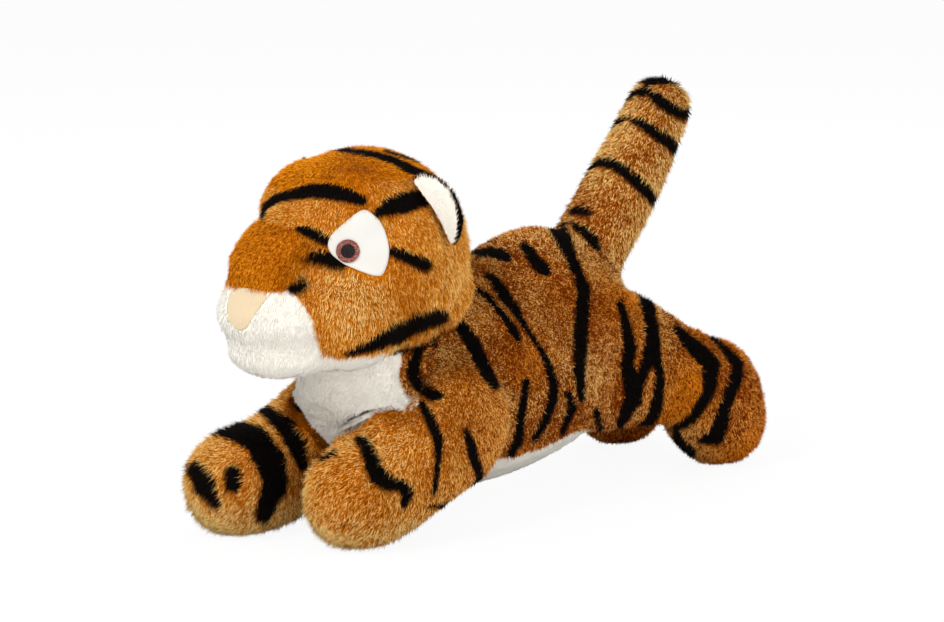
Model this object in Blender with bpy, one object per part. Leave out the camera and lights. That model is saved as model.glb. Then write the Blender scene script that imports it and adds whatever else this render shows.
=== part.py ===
"""A plush tiger stretched out in a run, built as its stuffed pieces and sewn-on patches.

Metres, +Z up. The tiger looks along -Y and its left side is +X. The origin is on
the ground, under the middle of the tiger.

Each stuffed piece is a row of rings drawn along a curved line, so it swells and
tapers as a sewn cover does. A limb is cut by the torso everywhere that the torso
passes as the joint between them turns, and the head turns in a round hollow.
"""

import math

import bmesh
import bpy
from mathutils import Matrix, Vector
from mathutils.bvhtree import BVHTree

# Clearances
GAP = 0.0003
SWING_GAP = 0.0006
BALL_GAP = 0.0009
LAID_GAP = 0.0006

# Torso
CHEST_Y = -0.106
RUMP_Y = 0.094
BACK_Z = 0.132
BELLY_Z = 0.012
TORSO_HALF_WIDTH = 0.046
CHEST_BLUNT = 0.055
RUMP_BLUNT = 0.050

# Cover panels let into the torso
PANEL_THICKNESS = 0.0025
BIB_Z = 0.048
BIB_TILT = math.radians(24)
BIB_HALF_WIDTH = 0.019
BIB_HALF_HEIGHT = 0.014
BELLY_PANEL_Y = 0.004
BELLY_PANEL_HALF_LENGTH = 0.058
BELLY_PANEL_HALF_WIDTH = 0.030

# Head: a ball that turns in the hollow of the neck
HEAD_Y = -0.088
HEAD_Z = 0.1380
HEAD_RADIUS = 0.054
HEAD_DEPTH_share = 0.96
BROW_FULLNESS = 0.0045
BROW_LIFT = math.radians(28)
BROW_SPREAD = math.radians(60)
HEAD_NOD_DOWN = math.radians(6)

# Neck: a short round stub between the chest and the head
NECK_TOP_RADIUS = 0.036
NECK_FOOT_RADIUS = 0.034
NECK_FOOT_Z = 0.060
NECK_BLUNT = 0.006

# Muzzle, chin, snout bridge and nose
MUZZLE_TIP_Y = -0.171
MUZZLE_Z = 0.1140
MUZZLE_HALF_WIDTH = 0.036
MUZZLE_HALF_HEIGHT = 0.0210
MUZZLE_BLUNT = 0.023
CHIN_TIP_Y = -0.165
CHIN_REAR_Y = -0.128
CHIN_BOTTOM_Z = 0.0830
CHIN_HALF_WIDTH = 0.030
CHIN_HALF_HEIGHT = 0.012
CHIN_BLUNT = 0.014
BRIDGE_HALF_WIDTH = 0.021
BRIDGE_HALF_HEIGHT = 0.0105
BRIDGE_FRONT_Y = -0.166
BRIDGE_FRONT_Z = 0.1310
BRIDGE_BROW_Y = -0.126
BRIDGE_BROW_Z = 0.164
BRIDGE_BLUNT = 0.012
NOSE_HALF_WIDTH = 0.0150
NOSE_HALF_HEIGHT = 0.0120
NOSE_Z = 0.1210
NOSE_THICKNESS = 0.0014

# Eyes: a felt patch with an embroidered ring and pupil
PATCH_TURN = math.radians(37)
PATCH_LIFT = math.radians(14)
PATCH_HALF_WIDTH = 0.0165
PATCH_HALF_HEIGHT = 0.0185
PATCH_THICKNESS = 0.0012
EYE_TURN = math.radians(38)
EYE_LIFT = math.radians(12)
IRIS_RADIUS = 0.0062
PUPIL_RADIUS = 0.0034
STITCH_THICKNESS = 0.0009

# Ears, placed on the head by shares of its radius
EAR_OUT_share = 0.84
EAR_BACK_share = 0.08
EAR_UP_share = 0.455
EAR_HALF_LENGTH = 0.021
EAR_REACH = 0.017
EAR_HALF_THICKNESS = 0.0040
EAR_BEND = math.radians(20)
EAR_TIP_IN = math.radians(18)
EAR_TIP_FORWARD = math.radians(16)
EAR_EDGE = 0.0028
EAR_LINING_THICKNESS = 0.0016
EAR_SWING = math.radians(12)

# Forelegs
SHOULDER_X = 0.038
SHOULDER_Y = -0.060
SHOULDER_Z = 0.052
SHOULDER_HALF_HEIGHT = 0.034
SHOULDER_HALF_WIDTH = 0.021
PAW_X = 0.031
LEFT_PAW_TIP_Y = -0.148
RIGHT_PAW_TIP_Y = -0.1725
PAW_HALF_WIDTH = 0.027
PAW_HALF_HEIGHT = 0.0275
PAW_BLUNT = 0.030
FORELEG_SWING = math.radians(12)

# Hind legs and feet
HIP_X = 0.034
HIP_Y = 0.052
HIP_Z = 0.070
HIP_HALF_HEIGHT = 0.039
HIP_HALF_WIDTH = 0.023
HIP_BLUNT = 0.062
ANKLE_Y = 0.110
ANKLE_Z = 0.0535
ANKLE_HALF_WIDTH = 0.022
ANKLE_HALF_HEIGHT = 0.026
FOOT_X = 0.037
FOOT_Y = 0.136
FOOT_HALF_LENGTH = 0.031
FOOT_HEIGHT = 0.069
FOOT_HALF_WIDTH = 0.025
FOOT_BLUNT = 0.024
HIND_LEG_SWING = math.radians(12)

# Tail
TAIL_ROOT_Y = 0.068
TAIL_ROOT_Z = 0.112
TAIL_LENGTH = 0.121
TAIL_LEAN = math.radians(37.5)
TAIL_BOW = -0.003
TAIL_ROOT_RADIUS = 0.0205
TAIL_MIDDLE_RADIUS = 0.0200
TAIL_TIP_RADIUS = 0.0160
TAIL_BLUNT = 0.012
TAIL_SWING = math.radians(15)

# Standing: the soles are pressed flat by this much
SOLE_CUT = 0.0005

# Far enough outside the tiger to look at its surface from there
OUTSIDE = 0.2

HEAD = Vector((0, HEAD_Y, HEAD_Z))
SHOULDER = Vector((0, SHOULDER_Y, SHOULDER_Z))
HIP = Vector((0, HIP_Y, HIP_Z))
TAIL_ROOT = Vector((0, TAIL_ROOT_Y, TAIL_ROOT_Z))
EAR = HEAD + HEAD_RADIUS * Vector((EAR_OUT_share, EAR_BACK_share, EAR_UP_share))


def remove_everything():
    """Empty the scene before the tiger is built."""
    for obj in list(bpy.data.objects):
        bpy.data.objects.remove(obj, do_unlink=True)


def cloth(name, colour, roughness=0.9):
    """A cloth or thread as a plain material: its colour and how matt it is."""
    material = bpy.data.materials.new(name)
    material.use_nodes = True
    shader = material.node_tree.nodes["Principled BSDF"]
    shader.inputs["Base Color"].default_value = (*colour, 1.0)
    shader.inputs["Roughness"].default_value = roughness
    shader.inputs["Metallic"].default_value = 0.0
    return material


def make_object(name, bm, material=None):
    """Finish a bmesh as a named object with smooth faces that point out."""
    bmesh.ops.recalc_face_normals(bm, faces=bm.faces)
    if bm.calc_volume(signed=True) < 0:
        bmesh.ops.reverse_faces(bm, faces=bm.faces)
    for face in bm.faces:
        face.smooth = True
    mesh = bpy.data.meshes.new(name)
    bm.to_mesh(mesh)
    bm.free()
    obj = bpy.data.objects.new(name, mesh)
    bpy.context.scene.collection.objects.link(obj)
    if material:
        mesh.materials.append(material)
    return obj


def hide(obj):
    """Keep a cutter out of the model."""
    obj.hide_render = True
    obj.display_type = "WIRE"
    return obj


def between(values, at):
    """The value at a place along a row of values, on one smooth curve through them."""
    last = len(values) - 1
    step = min(int(at), last - 1)
    share = at - step
    near = [values[min(max(step + k, 0), last)] for k in (-1, 0, 1, 2)]
    before, start, end, after = near
    return (
        start
        + (end - before) * (share / 2)
        + (before * 2 - start * 5 + end * 4 - after) * (share**2 / 2)
        + (start * 3 - before - end * 3 + after) * (share**3 / 2)
    )


def rim_edges(verts):
    """The edges among these vertices, in one ring."""
    chosen = set(verts)
    return list({e for v in verts for e in v.link_edges if e.other_vert(v) in chosen})


def add_ring(bm, centre, along, half_width, half_height, sides, closed):
    """One ring across a stuffed form, square to the line that it follows."""
    side = Vector((1, 0, 0))
    up = along.cross(side).normalized()
    if up.z < 0 or (abs(up.z) < abs(up.y) and up.y < 0):
        up.negate()
    turn = Matrix((side, up, along)).transposed().to_4x4()
    size = Matrix.Diagonal((half_width, half_height, 1, 1))
    made = bmesh.ops.create_circle(
        bm,
        cap_ends=closed,
        cap_tris=closed,
        segments=sides,
        radius=1,
        matrix=Matrix.Translation(centre) @ turn @ size,
    )
    return rim_edges([v for v in made["verts"] if len(v.link_edges) < sides])


def stuffed_mesh(line, widths, heights, blunt, sides, rings, grow=0.0):
    """Rings along a curved line, drawn together at both ends as a stuffed cover is.

    blunt holds how far from each end the drawing together starts, and grow makes
    the whole form larger all round.
    """
    samples = 60
    least_share = 0.02
    dense = [between(line, (len(line) - 1) * k / samples) for k in range(samples + 1)]
    dense[0] = dense[0] + (dense[0] - dense[1]).normalized() * grow
    dense[-1] = dense[-1] + (dense[-1] - dense[-2]).normalized() * grow
    run = [0.0]
    for here, there in zip(dense, dense[1:]):
        run.append(run[-1] + (there - here).length)
    total = run[-1]
    bm = bmesh.new()
    rims = []
    for k in range(rings + 1):
        place = total * (1 - math.cos(math.pi * k / rings)) / 2
        step = max(i for i in range(samples) if run[i] <= place)
        share = min((place - run[step]) / (run[step + 1] - run[step]), 1.0)
        centre = dense[step].lerp(dense[step + 1], share)
        along = (dense[min(step + 2, samples)] - dense[max(step - 1, 0)]).normalized()
        at = (len(widths) - 1) * (step + share) / samples
        drawn = 1.0
        for distance, reach in ((place, blunt[0] + grow), (total - place, blunt[1] + grow)):
            if distance < reach:
                drawn *= math.sqrt(max(1 - (1 - distance / reach) ** 2, 0.0))
        drawn = max(drawn, least_share)
        half_width = (between(widths, at) + grow) * drawn
        half_height = (between(heights, at) + grow) * drawn
        closed = k in (0, rings)
        rims.append(add_ring(bm, centre, along, half_width, half_height, sides, closed))
    for first, second in zip(rims, rims[1:]):
        bmesh.ops.bridge_loops(bm, edges=first + second)
    return bm


def stuffed(name, form, material=None, grow=0.0):
    """A stuffed piece from its form: line, half widths and heights, ends, fineness."""
    return make_object(name, stuffed_mesh(*form, grow=grow), material)


def ball(name, centre, half_sizes, material=None, turn=Matrix(), around=28, down=18):
    """A ball, which may be flattened and turned."""
    bm = bmesh.new()
    shape = Matrix.Translation(centre) @ turn.to_4x4() @ Matrix.Diagonal((*half_sizes, 1))
    bmesh.ops.create_uvsphere(bm, u_segments=around, v_segments=down, radius=1, matrix=shape)
    return make_object(name, bm, material)


def cut(target, cutter, about=None, axis=None, turns=(0.0,), grow=0.0):
    """Take a cutter away from a piece, at each turn that it passes as a joint moves."""
    for turn in turns:
        blade = hide(bpy.data.objects.new(cutter.name + "_blade", cutter.data))
        bpy.context.scene.collection.objects.link(blade)
        if grow:
            swell = blade.modifiers.new("grow", "DISPLACE")
            swell.mid_level = 0.0
            swell.strength = grow
        if about is not None:
            place = Matrix.Translation(about)
            blade.matrix_world = place @ Matrix.Rotation(turn, 4, axis) @ place.inverted()
        modifier = target.modifiers.new("cut", "BOOLEAN")
        modifier.operation = "DIFFERENCE"
        modifier.solver = "EXACT"
        modifier.object = blade


def swings(reach, steps=4):
    """The turns that a joint passes, both ways from rest."""
    return [reach * (2 * k / steps - 1) for k in range(steps + 1)]


def other_side(obj):
    """The same piece for the tiger's right side."""
    bpy.context.view_layer.update()
    evaluated = obj.evaluated_get(bpy.context.evaluated_depsgraph_get())
    bm = bmesh.new()
    bm.from_mesh(evaluated.to_mesh())
    evaluated.to_mesh_clear()
    bmesh.ops.transform(bm, matrix=Matrix.Diagonal((-1, 1, 1, 1)), verts=bm.verts)
    return make_object(obj.name.replace("left", "right"), bm, obj.data.materials[0])


def surface_of(obj):
    """The surface of a piece, to lay a patch on."""
    bpy.context.view_layer.update()
    return BVHTree.FromObject(obj, bpy.context.evaluated_depsgraph_get())


def through(half_width, half_height, point_shares):
    """An outline as one smooth closed curve through a few points."""
    points = [Vector((half_width * x, half_height * y)) for x, y in point_shares]
    count = len(points)
    ring = [points[-1], *points, points[0], points[1]]
    start = math.atan2(points[0].y, points[0].x)

    def outline(angle):
        share = ((angle - start) / (2 * math.pi)) % 1.0
        return between(ring, 1 + count * share)

    return outline


def oval(half_width, half_height):
    """An oval outline."""
    return lambda angle: Vector((half_width * math.cos(angle), half_height * math.sin(angle)))


def patch_mesh(surface, centre, facing, up, outline, low, high, sides=24, rings=4, grow=0.0):
    """A patch laid on a surface: its outline is drawn on a plane that faces the surface.

    low and high are how far the patch's two faces lie above the surface.
    """
    facing = facing.normalized()
    across = up.cross(facing).normalized()
    upwards = facing.cross(across)

    def laid(flat, above):
        start = centre + across * flat.x + upwards * flat.y + facing * OUTSIDE
        place, normal, _, _ = surface.ray_cast(start, -facing)
        return place + normal * above

    bm = bmesh.new()
    rims = []
    for ring in range(1, rings + 1):
        inner = ring == 1
        made = bmesh.ops.create_circle(
            bm, cap_ends=inner, cap_tris=inner, segments=sides, radius=ring / rings
        )
        half_way = 1 / (2 * rings)
        rims.append(rim_edges([v for v in made["verts"] if v.co.length > half_way]))
    for first, second in zip(rims, rims[1:]):
        bmesh.ops.bridge_loops(bm, edges=first + second)
    for v in bm.verts:
        edge = outline(math.atan2(v.co.y, v.co.x))
        v.co = (edge + edge.normalized() * grow).to_3d() * v.co.length
    made = bmesh.ops.extrude_face_region(bm, geom=bm.faces[:])["geom"]
    upper = {g for g in made if isinstance(g, bmesh.types.BMVert)}
    for v in bm.verts:
        v.co = laid(v.co.to_2d(), high if v in upper else low)
    return bm


def patch(name, material, *laid, **sizes):
    """A sewn-on patch or a panel as an object."""
    return make_object(name, patch_mesh(*laid, **sizes), material)


def ahead(turn, lift):
    """The direction straight ahead, turned to the tiger's left and lifted."""
    level = math.cos(lift)
    return Vector((math.sin(turn) * level, -math.cos(turn) * level, math.sin(lift)))


def torso_form():
    length = RUMP_Y - CHEST_Y
    middle_z = (BACK_Z + BELLY_Z) / 2
    half_height = (BACK_Z - BELLY_Z) / 2
    length_shares = (0.0, 0.18, 0.38, 0.58, 0.78, 1.0)
    lift_shares = (-0.10, -0.11, -0.11, -0.03, 0.18, 0.40)
    width_shares = (0.62, 0.80, 0.98, 1.02, 0.98, 0.80)
    height_shares = (0.60, 0.82, 0.95, 0.99, 0.98, 0.72)
    line = [
        Vector((0, CHEST_Y + length * along, middle_z + half_height * lift))
        for along, lift in zip(length_shares, lift_shares)
    ]
    widths = [TORSO_HALF_WIDTH * share for share in width_shares]
    heights = [half_height * share for share in height_shares]
    return line, widths, heights, (CHEST_BLUNT, RUMP_BLUNT), 28, 20


def neck_form():
    top_z = HEAD_Z - math.sqrt(HEAD_RADIUS**2 - NECK_TOP_RADIUS**2)
    line = [
        Vector((0, HEAD_Y, NECK_FOOT_Z)),
        Vector((0, HEAD_Y, (NECK_FOOT_Z + top_z) / 2)),
        Vector((0, HEAD_Y, top_z + NECK_BLUNT)),
    ]
    radii = [NECK_FOOT_RADIUS, (NECK_FOOT_RADIUS + NECK_TOP_RADIUS) / 2, NECK_TOP_RADIUS]
    return line, radii, radii, (NECK_BLUNT, NECK_BLUNT), 28, 10


def muzzle_form():
    rear_y = HEAD_Y - HEAD_RADIUS / 2
    line = [
        Vector((0, rear_y, MUZZLE_Z)),
        Vector((0, (rear_y + MUZZLE_TIP_Y) / 2, MUZZLE_Z)),
        Vector((0, MUZZLE_TIP_Y, MUZZLE_Z)),
    ]
    width_shares = (0.94, 1.0, 0.92)
    height_shares = (1.0, 1.0, 0.94)
    widths = [MUZZLE_HALF_WIDTH * share for share in width_shares]
    heights = [MUZZLE_HALF_HEIGHT * share for share in height_shares]
    return line, widths, heights, (MUZZLE_BLUNT, MUZZLE_BLUNT), 24, 14


def chin_form():
    z = CHIN_BOTTOM_Z + CHIN_HALF_HEIGHT
    line = [
        Vector((0, CHIN_REAR_Y, z)),
        Vector((0, (CHIN_REAR_Y + CHIN_TIP_Y) / 2, z)),
        Vector((0, CHIN_TIP_Y, z)),
    ]
    width_shares = (0.96, 1.0, 0.86)
    widths = [CHIN_HALF_WIDTH * share for share in width_shares]
    heights = [CHIN_HALF_HEIGHT for _ in line]
    return line, widths, heights, (CHIN_BLUNT / 2, CHIN_BLUNT), 24, 10


def bridge_form():
    front = Vector((0, BRIDGE_FRONT_Y, BRIDGE_FRONT_Z))
    brow = Vector((0, BRIDGE_BROW_Y, BRIDGE_BROW_Z))
    rise = (brow - front).normalized()
    swell = Vector((0, -rise.z, rise.y)) * (BRIDGE_HALF_HEIGHT / 4)
    line = [front, (front + brow) / 2 + swell, brow]
    width_shares = (0.80, 1.0, 0.86)
    height_shares = (0.90, 1.0, 0.80)
    widths = [BRIDGE_HALF_WIDTH * share for share in width_shares]
    heights = [BRIDGE_HALF_HEIGHT * share for share in height_shares]
    return line, widths, heights, (BRIDGE_BLUNT, BRIDGE_BLUNT), 20, 12


def foreleg_form(side, tip_y):
    reach = SHOULDER_Y - tip_y
    paw_z = PAW_HALF_HEIGHT - SOLE_CUT
    drop = SHOULDER_Z - paw_z
    length_shares = (-0.34, 0.0, 0.30, 0.62, 1.0)
    drop_shares = (-0.10, 0.0, 0.56, 1.03, 1.0)
    inward_shares = (-0.2, 0.0, 0.3, 0.9, 1.0)
    height_shares = (0.96, 1.0, -0.10, 0.0, 0.0)
    line = [
        Vector(
            (
                side * (SHOULDER_X + (PAW_X - SHOULDER_X) * inward),
                SHOULDER_Y - reach * along,
                SHOULDER_Z - drop * down,
            )
        )
        for along, down, inward in zip(length_shares, drop_shares, inward_shares)
    ]
    widths = [PAW_HALF_WIDTH + (SHOULDER_HALF_WIDTH - PAW_HALF_WIDTH) * s for s in height_shares]
    heights = [PAW_HALF_HEIGHT + (SHOULDER_HALF_HEIGHT - PAW_HALF_HEIGHT) * s for s in height_shares]
    return line, widths, heights, (SHOULDER_HALF_HEIGHT, PAW_BLUNT), 20, 16


def hind_leg_form():
    reach = ANKLE_Y - HIP_Y
    drop = HIP_Z - ANKLE_Z
    length_shares = (-0.85, 0.0, 0.50, 1.0, 1.40)
    taper_shares = (0.0, 0.0, 0.45, 1.0, 1.0)
    line = [
        Vector((HIP_X + (FOOT_X - HIP_X) * taper, HIP_Y + reach * along, HIP_Z - drop * taper))
        for along, taper in zip(length_shares, taper_shares)
    ]
    widths = [HIP_HALF_WIDTH + (ANKLE_HALF_WIDTH - HIP_HALF_WIDTH) * s for s in taper_shares]
    heights = [HIP_HALF_HEIGHT + (ANKLE_HALF_HEIGHT - HIP_HALF_HEIGHT) * s for s in taper_shares]
    return line, widths, heights, (HIP_BLUNT, ANKLE_HALF_HEIGHT / 2), 20, 16


def hind_foot_form():
    rise_shares = (0.0, 0.32, 0.66, 1.0)
    back_shares = (0.06, 0.16, -0.06, -0.66)
    width_shares = (0.90, 1.0, 1.0, 0.80)
    length_shares = (0.92, 1.0, 0.90, 0.50)
    line = [
        Vector((FOOT_X, FOOT_Y + FOOT_HALF_LENGTH * back, FOOT_HEIGHT * rise - SOLE_CUT))
        for rise, back in zip(rise_shares, back_shares)
    ]
    widths = [FOOT_HALF_WIDTH * share for share in width_shares]
    lengths = [FOOT_HALF_LENGTH * share for share in length_shares]
    return line, widths, lengths, (FOOT_BLUNT, FOOT_BLUNT), 20, 14


def tail_form():
    along = Vector((0, math.sin(TAIL_LEAN), math.cos(TAIL_LEAN)))
    square = Vector((0, -math.cos(TAIL_LEAN), math.sin(TAIL_LEAN)))
    length_shares = (0.0, 0.25, 0.5, 0.75, 1.0)
    line = [
        TAIL_ROOT + along * (TAIL_LENGTH * s) + square * (TAIL_BOW * math.sin(math.pi * s))
        for s in length_shares
    ]
    middle = (TAIL_ROOT_RADIUS + TAIL_MIDDLE_RADIUS) / 2
    late = (TAIL_MIDDLE_RADIUS + TAIL_TIP_RADIUS) / 2
    radii = [TAIL_ROOT_RADIUS, middle, TAIL_MIDDLE_RADIUS, late, TAIL_TIP_RADIUS]
    return line, radii, radii, (TAIL_BLUNT / 2, TAIL_BLUNT), 20, 14


def press_sole(obj):
    """Cut the piece flat where it stands on the ground."""
    bm = bmesh.new()
    below = Matrix.Translation((0, 0, -OUTSIDE)) @ Matrix.Scale(2 * OUTSIDE, 4)
    bmesh.ops.create_cube(bm, size=1, matrix=below)
    cut(obj, hide(make_object("ground", bm)))


def make_torso(cloths):
    """The torso with the bib and belly panels let into its cover."""
    torso = stuffed("torso", torso_form(), cloths["striped"])
    surface = surface_of(torso)
    bib_shares = ((1.0, 0.3), (0.7, 0.95), (0.0, 1.0), (-0.7, 0.95), (-1.0, 0.3), (-0.45, -0.6))
    bib_shares = bib_shares + ((0.0, -1.0), (0.45, -0.6))
    bib = (
        surface,
        Vector((0, CHEST_Y, BIB_Z)),
        ahead(0, -BIB_TILT),
        Vector((0, 0, 1)),
        through(BIB_HALF_WIDTH, BIB_HALF_HEIGHT, bib_shares),
    )
    belly_shares = ((1.0, 0.25), (0.85, 0.8), (0.0, 1.0), (-0.85, 0.8), (-1.0, 0.25))
    belly_shares = belly_shares + ((-0.7, -0.75), (0.0, -1.0), (0.7, -0.75))
    belly = (
        surface,
        Vector((0, BELLY_PANEL_Y, 0)),
        Vector((0, 0, -1)),
        Vector((0, 1, 0)),
        through(BELLY_PANEL_HALF_WIDTH, BELLY_PANEL_HALF_LENGTH, belly_shares),
    )
    for name, laid in (("chest_bib", bib), ("belly_panel", belly)):
        patch(name, cloths["white"], *laid, -PANEL_THICKNESS, 0.0)
        low = -PANEL_THICKNESS - LAID_GAP
        room = patch_mesh(*laid, low, PANEL_THICKNESS, grow=LAID_GAP)
        cut(torso, hide(make_object(name + "_room", room)))
    return torso


def make_neck(cloths, torso):
    """The neck, in its hollow of the chest, with the head's hollow in its top."""
    neck = stuffed("neck", neck_form(), cloths["white"])
    room = hide(stuffed("neck_room", neck_form(), grow=SWING_GAP))
    cut(torso, room)
    cut(bpy.data.objects["chest_bib"], room)
    reach = HEAD_RADIUS + BALL_GAP
    hollow = hide(ball("head_room", HEAD, (reach, reach, reach), around=36, down=24))
    cut(neck, hollow)
    cut(torso, hollow)


def make_head(cloths):
    """The head: a ball with a fuller brow, so the forehead runs down into the snout."""
    bm = bmesh.new()
    half = Vector((HEAD_RADIUS, HEAD_RADIUS * HEAD_DEPTH_share, HEAD_RADIUS))
    bmesh.ops.create_uvsphere(bm, u_segments=28, v_segments=18, radius=1)
    brow = ahead(0, BROW_LIFT)
    for v in bm.verts:
        off = v.co.angle(brow) / BROW_SPREAD
        full = BROW_FULLNESS * (1 + math.cos(math.pi * min(off, 1.0))) / 2
        v.co = HEAD + Vector(a * b for a, b in zip(half, v.co)) + v.co.normalized() * full
    return make_object("head", bm, cloths["striped"])


def make_face(cloths, head):
    """Muzzle, chin, snout bridge and nose, each cut by what it is sewn to.

    The neck makes room for the muzzle and the chin, which come down as the head nods.
    """
    muzzle = stuffed("muzzle", muzzle_form(), cloths["white"])
    surface = surface_of(muzzle)
    nose_shares = ((1.0, 0.75), (0.5, 1.0), (-0.5, 1.0), (-1.0, 0.75), (-0.72, -0.25))
    nose_shares = nose_shares + ((0.0, -1.0), (0.72, -0.25))
    nose = (
        surface,
        Vector((0, MUZZLE_TIP_Y, NOSE_Z)),
        Vector((0, -1, 0)),
        Vector((0, 0, 1)),
        through(NOSE_HALF_WIDTH, NOSE_HALF_HEIGHT, nose_shares),
    )
    patch("nose", cloths["nose"], *nose, LAID_GAP, LAID_GAP + NOSE_THICKNESS)
    nose_room = patch_mesh(*nose, -GAP, 2 * LAID_GAP + NOSE_THICKNESS, grow=GAP)
    nose_room = hide(make_object("nose_room", nose_room))
    cut(muzzle, head, grow=GAP)
    muzzle_room = hide(stuffed("muzzle_room", muzzle_form(), grow=GAP))
    chin_room = hide(stuffed("chin_room", chin_form(), grow=SWING_GAP))
    nods = [HEAD_NOD_DOWN * share for share in (0.0, 0.25, 0.5, 0.75, 1.0)]
    for room in (hide(stuffed("snout_room", muzzle_form(), grow=SWING_GAP)), chin_room):
        cut(bpy.data.objects["neck"], room, HEAD, "X", nods)
    chin = stuffed("chin", chin_form(), cloths["white"])
    bridge = stuffed("snout_bridge", bridge_form(), cloths["dark"])
    for piece in (chin, bridge):
        cut(piece, head, grow=GAP)
        cut(piece, muzzle_room)
    cut(bridge, nose_room)
    return [muzzle, chin, bridge, bpy.data.objects["nose"]]


def make_eye(cloths, head, bridge):
    """The left eye: a felt patch, an embroidered ring on it and the pupil in the ring."""
    surface = surface_of(head)
    up = Vector((0, 0, 1))
    patch_shares = ((0.95, -0.12), (0.86, 0.6), (0.15, 1.08), (-0.58, 0.6), (-1.05, 0.03))
    patch_shares = patch_shares + ((-0.42, -0.55), (0.35, -0.92), (0.82, -0.75))
    facing = ahead(PATCH_TURN, PATCH_LIFT)
    outline = through(PATCH_HALF_WIDTH, PATCH_HALF_HEIGHT, patch_shares)
    laid = (surface, HEAD, facing, up, outline)
    felt = patch("eye_patch_left", cloths["felt"], *laid, LAID_GAP, LAID_GAP + PATCH_THICKNESS)
    facing = ahead(EYE_TURN, EYE_LIFT)
    low = 2 * LAID_GAP + PATCH_THICKNESS
    ring = (surface, HEAD, facing, up, oval(IRIS_RADIUS, IRIS_RADIUS))
    iris = patch("iris_left", cloths["iris"], *ring, low, low + STITCH_THICKNESS)
    dot = (surface, HEAD, facing, up, oval(PUPIL_RADIUS, PUPIL_RADIUS))
    pupil = patch("pupil_left", cloths["black"], *dot, low, low + STITCH_THICKNESS, rings=2)
    room = patch_mesh(*dot, 0.0, low + 2 * STITCH_THICKNESS, rings=2, grow=GAP)
    cut(iris, hide(make_object("pupil_room", room)))
    cut(felt, bridge, grow=LAID_GAP)
    return [felt, iris, pupil]


def ear_turn():
    """The left ear's axes: outwards, towards its tip, and the way that it faces."""
    tip = Vector((-math.sin(EAR_TIP_IN), -math.sin(EAR_TIP_FORWARD), 1)).normalized()
    facing = Vector((math.sin(EAR_BEND), -math.cos(EAR_BEND), 0))
    out = facing.cross(tip).normalized()
    if out.x < 0:
        out.negate()
    facing = out.cross(tip).normalized()
    if facing.y > 0:
        facing.negate()
    return out, tip, facing


def make_ear(cloths):
    """The left ear: a half-round flap with a lining that leaves its edge free."""
    out, tip, facing = ear_turn()
    turn = Matrix((out, tip, out.cross(tip))).transposed()
    half_sizes = (EAR_REACH, EAR_HALF_LENGTH, EAR_HALF_THICKNESS)
    ear = ball("ear_left", EAR, half_sizes, cloths["striped"], turn, around=24, down=14)
    surface = surface_of(ear)
    outline = oval(EAR_REACH - EAR_EDGE, EAR_HALF_LENGTH - EAR_EDGE)
    laid = (surface, EAR, facing, tip, outline)
    high = LAID_GAP + EAR_LINING_THICKNESS
    lining = patch("ear_lining_left", cloths["white"], *laid, LAID_GAP, high, sides=20, rings=3)
    reach = [HEAD_RADIUS, HEAD_RADIUS * HEAD_DEPTH_share, HEAD_RADIUS]
    seat = hide(ball("ear_seat", HEAD, [size + SWING_GAP for size in reach]))
    for piece in (ear, lining):
        cut(piece, seat, EAR, tip, swings(EAR_SWING))
    return [ear, lining]


def make_limbs(cloths):
    """The legs and the tail, cut by the torso wherever it passes."""
    torso_room = hide(stuffed("torso_room", torso_form(), grow=SWING_GAP))
    legs = []
    for name, side, tip_y in (
        ("foreleg_left", 1, LEFT_PAW_TIP_Y),
        ("foreleg_right", -1, RIGHT_PAW_TIP_Y),
    ):
        leg = stuffed(name, foreleg_form(side, tip_y), cloths["striped"])
        for room in (torso_room, bpy.data.objects["neck_room"]):
            cut(leg, room, SHOULDER, "X", swings(FORELEG_SWING))
        press_sole(leg)
        legs.append(leg)
    hind = stuffed("hind_leg_left", hind_leg_form(), cloths["striped"])
    cut(hind, torso_room, HIP, "X", swings(HIND_LEG_SWING))
    foot = stuffed("hind_foot_left", hind_foot_form(), cloths["striped"])
    cut(foot, hide(stuffed("ankle_room", hind_leg_form(), grow=GAP)))
    press_sole(foot)
    tail = stuffed("tail", tail_form(), cloths["striped"])
    cut(tail, torso_room, TAIL_ROOT, "X", swings(TAIL_SWING))
    return legs, hind, foot, tail


def carry(name, place, pieces, parent=None):
    """An empty on a joint's axis, which carries the pieces that move with it."""
    empty = bpy.data.objects.new(name, None)
    empty.empty_display_size = GAP
    bpy.context.scene.collection.objects.link(empty)
    empty.location = place
    if parent:
        empty.parent = parent
        empty.matrix_parent_inverse = Matrix.Translation(parent.matrix_world.translation).inverted()
    bpy.context.view_layer.update()
    for piece in pieces:
        piece.parent = empty
        piece.matrix_parent_inverse = empty.matrix_world.inverted()
    return empty


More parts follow.
